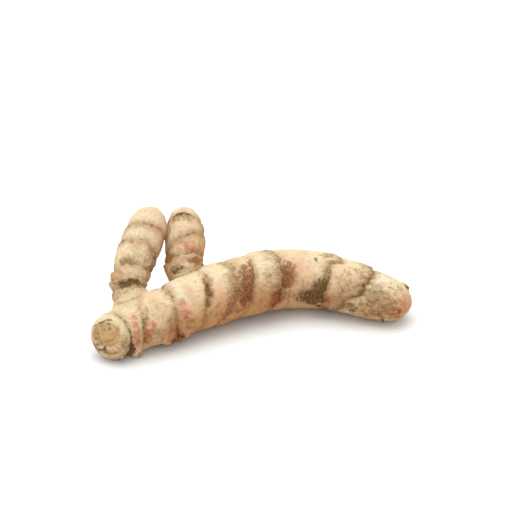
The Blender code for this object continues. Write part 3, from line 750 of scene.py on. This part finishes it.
def skin_fields(limb, place, angle, radius, spread):
    """Relief in millimetres and colour masks of a limb's skin at each place and angle."""
    out = {name: np.zeros_like(place) for name in FIELDS}
    grain = np.stack([place, spread * np.cos(angle), spread * np.sin(angle)], axis=1)
    ring_fields(limb, place, angle, grain, out)
    patch_fields(limb, place, angle, radius, grain, out)
    rough = noise(grain / SCAR_BUMP + 50.0, 2)
    if limb.name == "main":
        scar_fields(place, angle, radius, rough, out)
    crack_fields(limb, place, angle, radius, rough, out)
    raw = np.maximum(out["scrape"], out["amber"])
    out["relief"] -= SCRAPE_SINK * rise(raw, 0.3, 0.8) * (1.0 + noise(grain / CRUMB_BUMP))
    out["relief"] += STRIPE_HEIGHT * noise(grain * STRIPE_GRAIN + 9.0)
    out["relief"] += 0.4 * WRINKLE_HEIGHT * noise(grain * CREASE_GRAIN - 3.0)
    out["relief"] += LUMP_HEIGHT * noise(grain / LUMP_BUMP, 2)
    out["relief"] += PEBBLE_HEIGHT * noise(grain / PEBBLE_BUMP)
    out["relief"] *= np.minimum(1.0, limb.end_factor(place) * CAP_RELIEF + 0.35)
    return out, grain


def disc_frame(main):
    """The end scar's middle, and its facing, across and up directions."""
    place, angle = np.array(DISC_PLACE[0]), np.array(math.radians(DISC_PLACE[1]))
    _, front, up, _ = main.line_at(place)
    aside = math.cos(angle) * front + math.sin(angle) * up
    outward = np.cross(front, up)
    tilt = math.radians(DISC_TILT)
    facing = math.cos(tilt) * outward + math.sin(tilt) * aside
    across = np.cross(up, facing)
    across /= np.linalg.norm(across)
    return main.core(place, angle) - DISC_SINK * facing, facing, across, np.cross(facing, across)


def cut_disc(main, points, fields):
    """Cuts the end scar into the skin: a flat tan face, a low rim and a smaller scar beside it."""
    middle, facing, across, upward = disc_frame(main)
    offset = points - middle
    above = offset @ facing
    x, y = offset @ across, offset @ upward
    turn = np.arctan2(y, x)
    apart = np.hypot(x, y) * (1.0 + 0.05 * np.cos(3 * turn + 1.0) + 0.03 * np.sin(5 * turn))
    nearby = (above > -DISC_REACH[0]) & (apart < DISC_REACH[1])
    flat = fall(apart, DISC_RADIUS, DISC_RADIUS + DISC_SHOULDER) * nearby
    rough = noise(points / 1.1, 2)
    dish = DISC_HOLLOW * np.cos(np.minimum(apart / DISC_RADIUS, 1.0) * math.pi / 2)
    points -= (np.maximum(above + dish * (above > -1.0), 0.0) * flat)[:, None] * facing

    rim = ridge(apart - DISC_RADIUS, *DISC_RIM) * nearby
    moat = ridge(apart - DISC_RADIUS, *DISC_MOAT) * nearby
    small_x, small_y, wide, high = SMALL_SCAR
    small = np.hypot((x - small_x) / wide, (y - small_y) / high)
    lower = fall(y - small_y, 0.0, 0.6) * nearby
    crescent, under = ridge(small, *CRESCENT) * lower, ridge(small, *UNDERLINE) * lower
    face = np.stack([x, y], axis=1)
    runs = zip(DISC_ARC, DISC_ARC[1:] - DISC_ARC[:-1])
    arc_distance = np.min([line_distance(face - start, run) for start, run in runs], axis=0)
    arc = ridge(arc_distance, 0.0, ARC_WIDTH) * nearby
    low_right = rise(np.cos(turn + math.radians(FOLD_TURN)), 0.75, 0.95) * nearby
    folds = low_right * rise(apart, *FOLD_IN) * fall(apart, *FOLD_OUT)
    waves = np.sin(FOLD_WAVES * turn + 1.5 * rough)
    lift = RIM_LIFT * rim * (1.0 + 0.6 * rough) + CRESCENT_LIFT * crescent
    lift -= LINE_SINK * (under + arc)
    lift += FOLD_LIFT * folds * waves + ROUGH_LIFT * rough * nearby
    points += lift[:, None] * facing

    worn = np.hypot((x + 0.8) / WORN_SIZE[0], (y + 0.3) / WORN_SIZE[1])
    inside = fall(worn + 0.1 * noise(points / 2.4 + 70.0, 2), *WORN_EDGE) * nearby
    below = nearby * rise(-y, 5.4, 6.2) * fall(-y, 7.6, 8.6) * rise(-x, -0.6, 0.6)
    deepen(fields, "disc", inside * (1.0 - crescent))
    deepen(fields, "sheath_and_shade", 0.75 * nearby * rise(-y, 4.4, 6.5))
    deepen(fields, "sheath_and_shade", 0.8 * folds * rise(waves, -0.4, 0.8))
    fields["sheath_and_shade"] *= 1.0 - 0.9 * crescent
    deepen(fields, "dirt_and_shade", 0.4 * moat * rise(rough, 0.0, 0.8))
    deepen(fields, "dirt_and_shade", 0.85 * below * rise(rough, -0.6, 0.5))
    # Painted shade in the sunk line under the raised crescent and in the sunk arc.
    deepen(fields, "dirt_and_shade", 0.8 * np.maximum(under, arc))
    deepen(fields, "fresh_and_highlight", np.maximum(crescent, 0.55 * rim * rise(rough, -0.5, 0.4)))


def in_scene(name, data):
    """A new object in the scene."""
    made = bpy.data.objects.new(name, data)
    bpy.context.scene.collection.objects.link(made)
    return made


def add_spike(cage, limb, place, degrees, radius, length, taper, lift):
    """A tapering stub that is sunk into the limb."""
    foot, heading = limb.stand_off(place, degrees, lift)
    whole = length + STUB_SINK
    middle = Vector(foot + heading * (whole / 2 - STUB_SINK))
    turn = Vector((0.0, 0.0, 1.0)).rotation_difference(Vector(heading)).to_matrix().to_4x4()
    bmesh.ops.create_cone(
        cage,
        cap_ends=True,
        segments=12,
        radius1=radius,
        radius2=radius * taper,
        depth=whole,
        matrix=Matrix.Translation(middle) @ turn,
    )


def fused_cores(all_limbs):
    """One closed skin round the cores of all limbs and the stubs, from a voxel remesh."""
    whole = bmesh.new()
    for limb in all_limbs:
        mesh = limb.build_core()
        whole.from_mesh(mesh)
        bpy.data.meshes.remove(mesh)
    for place, degrees, radius, length in ROOT_STUBS:
        add_spike(whole, all_limbs[0], place, degrees, radius, length, STUB_TAPER, 90.0)
    add_spike(whole, all_limbs[0], *TIP_SCALE)
    mesh = bpy.data.meshes.new("rhizome_skin")
    whole.to_mesh(mesh)
    whole.free()
    skin = in_scene("rhizome_skin", mesh)
    remesh = skin.modifiers.new("fuse", "REMESH")
    remesh.mode = "VOXEL"
    remesh.voxel_size = VOXEL
    depsgraph = bpy.context.evaluated_depsgraph_get()
    fused = bpy.data.meshes.new_from_object(skin.evaluated_get(depsgraph))
    skin.modifiers.clear()
    skin.data = fused
    bpy.data.meshes.remove(mesh)
    return skin


def read_vectors(items, name):
    values = np.empty(len(items) * 3)
    items.foreach_get(name, values)
    return values.reshape(-1, 3)


def write_points(mesh, points):
    mesh.vertices.foreach_set("co", points.astype(np.float32).ravel())
    mesh.update()


def neighbour_mean(mesh):
    """A function that gives the mean of a field over each vertex's neighbours."""
    ends = np.empty(len(mesh.edges) * 2, dtype=np.int32)
    mesh.edges.foreach_get("vertices", ends)
    one, other = ends.reshape(-1, 2).T
    count = len(mesh.vertices)
    degree = np.bincount(one, minlength=count) + np.bincount(other, minlength=count)

    def mean(field):
        total = np.empty_like(field)
        for k in range(field.shape[1]):
            total[:, k] = np.bincount(one, field[other, k], count)
            total[:, k] += np.bincount(other, field[one, k], count)
        return total / degree[:, None]

    return mean


def smooth_joints(mesh, all_limbs):
    """Rounds the crease where one limb leaves another."""
    points = read_vectors(mesh.vertices, "co")
    mean = neighbour_mean(mesh)
    points += JOINT_PULL * (mean(points) - points)
    apart = np.stack([limb.locate(points)[4] for limb in all_limbs], axis=1)
    second = np.sort(apart, axis=1)[:, 1]
    joint = ridge(second, 0.0, JOINT_BLEND)[:, None]
    for _ in range(JOINT_ROUNDS):
        points += JOINT_PULL * joint * (mean(points) - points)
    write_points(mesh, points)
    return joint[:, 0]


def blend_fields(all_limbs, points):
    """Fields of all limbs, weighted to the limb that each point lies on."""
    total = {name: np.zeros(len(points)) for name in FIELDS}
    located = [limb.locate(points) for limb in all_limbs]
    apart = np.stack([where[4] for where in located], axis=1)
    weight = ridge(apart, 0.0, LIMB_BLEND) + 1e-9
    weight /= weight.sum(axis=1, keepdims=True)
    grain, ahead = np.zeros((len(points), 3)), np.zeros((len(points), 3))
    owner = np.argmax(weight, axis=1)
    for number, (limb, where) in enumerate(zip(all_limbs, located)):
        used = weight[:, number] > 0.001
        fields, limb_grain = skin_fields(limb, *(value[used] for value in where[:4]))
        for name in FIELDS:
            total[name][used] += weight[used, number] * fields[name]
        own = owner[used] == number
        grain[np.flatnonzero(used)[own]] = limb_grain[own] + GRAIN_SHIFT * number
        _, front, up, _ = limb.line_at(where[0][owner == number])
        ahead[owner == number] = np.cross(front, up)
    return total, grain, ahead


def fit_in_part(points):
    """Millimetres of the drawing to metres of the part, kept inside the part's own box."""
    low, high = np.array(CAD_BOX)
    return np.clip((points - FOOTPRINT_CENTRE) * MM, low, high)


# Frayed ends of the old sheaths, and two thin roots that are still on their stubs.
FIBRE_COUNT = 420
FIBRE_LENGTH = (0.5, 1.6)
FIBRE_RADIUS = (0.05, 0.09)
FIBRE_SEED = 5
FIBRE_ROWS = 5
FIBRE_SIDES = 4


def add_fibre(verts, faces, start, heading, drop, length, radius):
    """A tapering thread of a few rows that sets out along heading and bends towards drop."""
    side = np.cross(heading, drop)
    side /= np.linalg.norm(side) + 1e-9
    over = np.cross(side, heading)
    first = len(verts)
    for row in range(FIBRE_ROWS):
        t = row / (FIBRE_ROWS - 1)
        middle = start + length * (t * heading + 0.5 * t * t * drop)
        reach = radius * (1.0 - 0.75 * t)
        for column in range(FIBRE_SIDES):
            turn = 2 * math.pi * column / FIBRE_SIDES
            verts.append(middle + reach * (math.cos(turn) * side + math.sin(turn) * over))
        if row == 0:
            continue
        base = first + FIBRE_SIDES * (row - 1)
        for column in range(FIBRE_SIDES):
            after = (column + 1) % FIBRE_SIDES
            faces.append((base + column, base + after, base + after + FIBRE_SIDES,
                          base + column + FIBRE_SIDES))
    faces.append(tuple(range(len(verts) - FIBRE_SIDES, len(verts))))
    faces.append(tuple(range(first, first + FIBRE_SIDES))[::-1])


def build_fibres(main, points, normals, ahead, edge):
    """Short frayed fibres that stand off the edges of the old sheaths."""
    rng = np.random.default_rng(FIBRE_SEED)
    ready = np.flatnonzero((edge > 0.75) & (points[:, 2] > 1.5))
    verts, faces = [], []
    for at in rng.choice(ready, FIBRE_COUNT, replace=False):
        loose = rng.normal(size=3) * 0.35
        heading = ahead[at] + rng.uniform(0.1, 0.5) * normals[at] + loose
        heading /= np.linalg.norm(heading)
        length, radius = rng.uniform(*FIBRE_LENGTH), rng.uniform(*FIBRE_RADIUS)
        drop = rng.normal(size=3) * 0.3 - 0.4 * normals[at]
        add_fibre(verts, faces, points[at] - 0.15 * normals[at], heading, drop, length, radius)
    for place, degrees, _, _ in ROOT_STUBS[:2]:
        foot, heading = main.stand_off(place, degrees, 70.0)
        drop = np.array((0.5, -0.2, -0.9))
        add_fibre(verts, faces, foot, heading, drop, 1.8, 0.34)
    mesh = bpy.data.meshes.new("sheath_fibres")
    mesh.from_pydata(fit_in_part(np.array(verts)).tolist(), [], faces)
    mesh.shade_smooth()
    return in_scene("sheath_fibres", mesh)


# The warm shade of the flanks: slopes between which it grows, its power, and where along x the
# two ends ease it.
UNDER_SLOPE, UNDER_POWER = (-1.0, 0.22), 0.8
UNDER_LEFT, UNDER_RIGHT = (28.0, 42.0), (6.0, 20.0)


def build_skin():
    all_limbs = [Limb(*row) for row in LIMBS]
    skin = fused_cores(all_limbs)
    mesh = skin.data
    joint = smooth_joints(mesh, all_limbs)
    points = read_vectors(mesh.vertices, "co")
    normals = read_vectors(mesh.vertex_normals, "vector")
    fields, grain, ahead = blend_fields(all_limbs, points)
    # Painted shade in the crease where a limb leaves another, except at the left finger.
    seam = joint**2 * rise(points[:, 0], -40.0, -34.0)
    deepen(fields, "dirt_and_shade", 0.5 * seam**2)
    deepen(fields, "shade", 0.9 * seam)
    points += normals * (fields["relief"] * (1.0 - 0.4 * joint))[:, None]
    cut_disc(all_limbs[0], points, fields)
    fields["under"] = rise(-normals[:, 2], *UNDER_SLOPE) ** UNDER_POWER
    ease = 0.5 * rise(-points[:, 0], *UNDER_LEFT) + 0.25 * rise(points[:, 0], *UNDER_RIGHT)
    fields["under"] *= 1.0 - ease
    edge = fields["edge"] * (fields["disc"] < 0.1)
    fibres = build_fibres(all_limbs[0], points, normals, ahead, edge)
    write_points(mesh, fit_in_part(points))
    fields["seam"] = joint
    for name in (*FIELDS[2:], "under", "seam"):
        layer = mesh.attributes.new(name, "FLOAT", "POINT")
        layer.data.foreach_set("value", fields[name].astype(np.float32))
    for name, values in (("grain", grain), ("space", points)):
        layer = mesh.attributes.new(name, "FLOAT_VECTOR", "POINT")
        layer.data.foreach_set("vector", values.astype(np.float32).ravel())
    mesh.shade_smooth()
    return skin, fibres


# Light that falls on a surface facing straight up; colours below are as they show under it.
LIGHT_LEVEL = 1.18


def colour(red, green, blue):
    """Linear colour of a surface that shows as this sRGB colour under the studio light."""
    def linear(value):
        value /= 255.0
        return value / 12.92 if value <= 0.04045 else ((value + 0.055) / 1.055) ** 2.4

    return (*(linear(value) / LIGHT_LEVEL for value in (red, green, blue)), 1.0)


CREAM = colour(252, 228, 188)
TAN = colour(228, 192, 146)
STAIN = colour(196, 158, 112)
BLUSH = colour(249, 200, 165)
FRESH_AND_HIGHLIGHT_TONE = colour(255, 241, 210)
DISC = colour(224, 186, 134)
DISC_DARK = colour(190, 146, 98)
PAPER_AND_SHADE_TONE = colour(200, 168, 124)
DARK_PAPER_AND_SHADE_TONE = colour(142, 112, 72)
RUST = colour(184, 118, 66)
RUST_DARK = colour(118, 68, 30)
SCRAPE = colour(240, 168, 130)
SCRAPE_DEEP = colour(222, 132, 92)
SCRAPE_PALE = colour(255, 218, 190)
AMBER = colour(226, 152, 90)
AMBER_DEEP = colour(184, 102, 46)
SOIL_AND_SHADE_TONE = colour(138, 100, 42)
DEEP_SOIL_AND_SHADE_TONE = colour(62, 38, 6)
SHADE_TINT = (0.62, 0.50, 0.36, 1.0)
UNDER_TINT = (0.70, 0.43, 0.26, 1.0)
SPECK = colour(140, 98, 60)
FIBRE = colour(158, 122, 76)


class Nodes:
    """Small helper that adds shader nodes to a material and links them."""

    def __init__(self, name):
        self.material = bpy.data.materials.new(name)
        self.material.use_nodes = True
        self.tree = self.material.node_tree
        self.shader = self.tree.nodes["Principled BSDF"]

    def put(self, socket, value):
        if isinstance(value, bpy.types.NodeSocket):
            self.tree.links.new(value, socket)
        elif value is not None:
            socket.default_value = value

    def add(self, kind, inputs=(), **settings):
        node = self.tree.nodes.new(kind)
        for key, value in settings.items():
            setattr(node, key, value)
        for key, value in dict(inputs).items():
            self.put(node.inputs[key], value)
        return node

    def attribute(self, name, output="Fac"):
        return self.add("ShaderNodeAttribute", attribute_name=name).outputs[output]

    def math(self, operation, one, other=None, third=None):
        node = self.add("ShaderNodeMath", operation=operation)
        for socket, value in zip(node.inputs, (one, other, third)):
            self.put(socket, value)
        return node.outputs[0]

    def times(self, one, other):
        return self.math("MULTIPLY", one, other)

    def step(self, value, low, high, to_low=0.0, to_high=1.0):
        inputs = {"Value": value, "From Min": low, "From Max": high,
                  "To Min": to_low, "To Max": to_high}
        node = self.add("ShaderNodeMapRange", inputs, interpolation_type="SMOOTHSTEP")
        return node.outputs["Result"]

    def mix(self, share, one, other, blend="MIX"):
        node = self.add("ShaderNodeMix", data_type="RGBA", blend_type=blend)
        sockets = node.inputs[0], node.inputs[6], node.inputs[7]
        for socket, value in zip(sockets, (share, one, other)):
            self.put(socket, value)
        return node.outputs[2]

    def tint(self, share, base, tone):
        return self.mix(share, base, self.mix(1.0, base, tone, "MULTIPLY"))


# Noise of the skin's colours: scale per millimetre, detail, roughness, stretch along and across.
NOISES = {
    "broad": (0.14, 3.0),
    "mottle": (0.55, 4.0, 0.62),
    "fine": (2.2, 3.0, 0.6),
    "stripes": (1.0, 3.0, 0.65, (0.35, 2.6, 2.6)),
    "rings": (1.0, 3.0, 0.6, (1.9, 0.25, 0.25)),
    "patches": (0.3, 2.0),
    "dark_blots": (0.8, 2.0),
    "sparks": (1.2, 2.0),
}
SEAM_EDGE = (0.1, 0.5)
SKIN_ROUGHNESS = (0.62, 0.85)
SKIN_SPECULAR = 0.3
SUBSURFACE = {"Weight": 0.08, "Radius": (1.0, 0.5, 0.2), "Scale": 0.0015}
BUMP = {"Strength": 0.85, "Distance": 0.0005}


class SkinNodes(Nodes):
    """Adds noise that runs with the root's grain, and paint laid on through torn masks."""

    def __init__(self, name):
        super().__init__(name)
        self.grain = self.attribute("grain", "Vector")
        self.space = self.attribute("space", "Vector")
        self.seam = self.step(self.attribute("seam"), *SEAM_EDGE)

    def plain_noise(self, vector, scale, detail, rough):
        inputs = {"Vector": vector, "Scale": scale, "Detail": detail, "Roughness": rough}
        return self.add("ShaderNodeTexNoise", inputs).outputs["Fac"]

    def noise(self, scale, detail=2.0, rough=0.5, stretch=None):
        """Noise along the limb's own grain; at the joints it turns into noise in space."""
        grain = self.grain
        if stretch:
            grain = self.add("ShaderNodeMapping", {"Vector": grain, "Scale": stretch}).outputs[0]
        own = self.plain_noise(grain, scale, detail, rough)
        shared = self.plain_noise(self.space, scale, detail, rough)
        return self.math("MULTIPLY_ADD", self.math("SUBTRACT", shared, own), self.seam, own)

    def cover(self, base, paint, share, mask, field, bite=1.2, low=0.15, high=0.8):
        """Paint over a base where a mask shows, with edges broken up by a noise field."""
        mask = self.attribute(mask)
        bitten = self.math("MULTIPLY_ADD", self.math("SUBTRACT", field, 0.5), bite, mask)
        torn = self.step(self.times(bitten, self.step(mask, 0.0, 0.12)), low, high)
        return self.mix(self.times(torn, share), base, paint)

    def dots(self, base, paint, share, scale, low, high):
        """Small dots of paint on a base."""
        shown = self.step(self.noise(scale, 1.0), low, high)
        return self.mix(self.times(shown, share), base, paint)


def skin_material():
    """Papery cream skin from masks: blush, grey-brown sheaths, rust, orange scrapes and dirt, with
    painted shade in creases, at joints and on the lower flanks, and painted highlights on fresh
    pale skin.
    """
    n = SkinNodes("turmeric_skin")
    broad, mottle, fine, stripes, rings, patches, dark_blots, sparks = (
        n.noise(*settings) for settings in NOISES.values()
    )
    skin = n.mix(n.step(broad, 0.46, 0.8), CREAM, TAN)
    skin = n.mix(n.times(n.step(mottle, 0.48, 0.78), 0.6), skin, STAIN)
    skin = n.mix(n.times(n.attribute("blush"), 0.85), skin, BLUSH)
    # Fresh pale skin and white dots, with a painted highlight on the rims beyond ring edges.
    skin = n.cover(skin, FRESH_AND_HIGHLIGHT_TONE, 0.8, "fresh_and_highlight", mottle)
    lines = n.times(n.step(rings, 0.52, 0.68), n.step(patches, 0.42, 0.62))
    skin = n.mix(n.times(lines, 0.3), skin, STAIN)
    disc = n.mix(n.step(mottle, 0.35, 0.7), DISC, DISC_DARK)
    disc = n.dots(disc, SPECK, 0.8, 1.2, 0.6, 0.68)
    skin = n.cover(skin, disc, 0.9, "disc", mottle, 0.8, 0.1, 0.9)
    # Grey-brown sheaths, and painted shade where some sheath patches and ring stains stand for it.
    paper_and_shade = n.mix(n.step(n.math("ADD", stripes, mottle), 0.85, 1.3), PAPER_AND_SHADE_TONE, DARK_PAPER_AND_SHADE_TONE)
    worn = n.math("ADD", n.times(stripes, 0.5), n.times(mottle, 0.5))
    skin = n.cover(skin, paper_and_shade, 0.9, "sheath_and_shade", worn, 1.6, 0.05, 1.0)
    blotch = n.math("ADD", n.times(mottle, 0.5), n.times(fine, 0.5))
    rust = n.mix(n.step(blotch, 0.38, 0.62), RUST, RUST_DARK)
    rust = n.dots(rust, BLUSH, 0.8, 0.8, 0.7, 0.76)
    skin = n.cover(skin, rust, 0.95, "rust", blotch, 1.3, 0.0, 1.1)
    graze = n.mix(n.step(mottle, 0.4, 0.65), SCRAPE, SCRAPE_DEEP)
    graze = n.mix(n.step(sparks, 0.58, 0.68), graze, SCRAPE_PALE)
    skin = n.cover(skin, graze, 0.78, "scrape", blotch, 1.0, 0.0, 0.8)
    amber = n.mix(n.step(fine, 0.4, 0.62), AMBER, AMBER_DEEP)
    skin = n.cover(skin, amber, 0.8, "amber", blotch, 1.1, 0.02, 0.9)
    skin = n.tint(n.times(n.attribute("shade"), 0.8), skin, SHADE_TINT)
    # Dirt and soil, with painted shadow and shade in ring creases, limb joints, cracks and sunk
    # lines.
    soil_and_shade = n.mix(n.step(fine, 0.4, 0.6), SOIL_AND_SHADE_TONE, DEEP_SOIL_AND_SHADE_TONE)
    skin = n.cover(skin, soil_and_shade, 0.96, "dirt_and_shade", dark_blots, 1.1, 0.05, 0.9)
    skin = n.dots(skin, DARK_PAPER_AND_SHADE_TONE, 0.4, 1.3, 0.66, 0.74)
    # Painted shade: the lower flanks darker and warmer the more they face the table.
    skin = n.tint(n.attribute("under"), skin, UNDER_TINT)
    shade = n.step(fine, 0.3, 0.7, 0.87, 1.07)
    grey = n.add("ShaderNodeCombineColor", {"Red": shade, "Green": shade, "Blue": shade})
    n.put(n.shader.inputs["Base Color"], n.mix(1.0, skin, grey.outputs[0], "MULTIPLY"))
    n.put(n.shader.inputs["Roughness"], n.step(mottle, 0.3, 0.7, *SKIN_ROUGHNESS))
    n.shader.inputs["Specular IOR Level"].default_value = SKIN_SPECULAR
    for name, value in SUBSURFACE.items():
        n.shader.inputs[f"Subsurface {name}"].default_value = value
    folds = n.times(n.math("ADD", stripes, rings), 0.55)
    height = n.math("ADD", n.math("ADD", fine, mottle), folds)
    bump = n.add("ShaderNodeBump", {"Height": height, **BUMP})
    n.put(n.shader.inputs["Normal"], bump.outputs[0])
    return n.material


def plain_material(name, base, roughness):
    """A material of one colour."""
    n = Nodes(name)
    n.shader.inputs["Base Color"].default_value = base
    n.shader.inputs["Roughness"].default_value = roughness
    n.shader.inputs["Specular IOR Level"].default_value = 0.2
    return n.material


# Stage, in metres, watts and degrees: a white table, bright surroundings and one soft box above.
TABLE_SIZE = 3.0
TABLE_WHITE = (0.82, 0.82, 0.82, 1.0)
ROOM_WHITE = (0.935, 0.985, 0.975, 1.0)
ROOM_LIGHT = 1.05
SOFTBOX_SIZE = (0.9, 0.7)
SOFTBOX_PLACE = (-0.12, 0.10, 0.85)
SOFTBOX_TURN = (-6, -7, 0)
SOFTBOX_POWER = 5.2
SOFTBOX_WHITE = (1.0, 0.985, 0.955)
# Camera: lens and sensor in millimetres, place in metres, degrees up from straight down.
LENS, SENSOR = 105.47, 36.0
CAMERA_PLACE = (0.0006, -0.4931, 0.3150)
CAMERA_TILT = 60


def build_floor():
    cage = bmesh.new()
    bmesh.ops.create_grid(cage, x_segments=1, y_segments=1, size=TABLE_SIZE)
    mesh = bpy.data.meshes.new("table_top")
    cage.to_mesh(mesh)
    cage.free()
    floor = in_scene("table_top", mesh)
    mesh.materials.append(plain_material("white_table", TABLE_WHITE, 0.6))


def build_light():
    world = bpy.data.worlds.new("studio")
    bpy.context.scene.world = world
    world.use_nodes = True
    background = world.node_tree.nodes["Background"]
    background.inputs["Color"].default_value = ROOM_WHITE
    background.inputs["Strength"].default_value = ROOM_LIGHT
    key = bpy.data.lights.new("softbox", "AREA")
    key.shape = "RECTANGLE"
    key.size, key.size_y = SOFTBOX_SIZE
    key.energy = SOFTBOX_POWER
    key.color = SOFTBOX_WHITE
    softbox = in_scene("softbox", key)
    softbox.location = SOFTBOX_PLACE
    softbox.rotation_euler = [math.radians(turn) for turn in SOFTBOX_TURN]


def build_camera():
    lens = bpy.data.cameras.new("camera")
    lens.lens = LENS
    lens.sensor_width = SENSOR
    camera = in_scene("camera", lens)
    camera.location = CAMERA_PLACE
    camera.rotation_euler = (math.radians(CAMERA_TILT), 0.0, 0.0)
    bpy.context.scene.camera = camera


skin, fibres = build_skin()
skin.data.materials.append(skin_material())
fibres.data.materials.append(plain_material("dry_fibre", FIBRE, 0.85))
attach(fibres, "root")
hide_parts("rhizome")
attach(skin, "root")
build_floor()
build_light()
build_camera()
bpy.context.scene.view_settings.view_transform = "Standard"
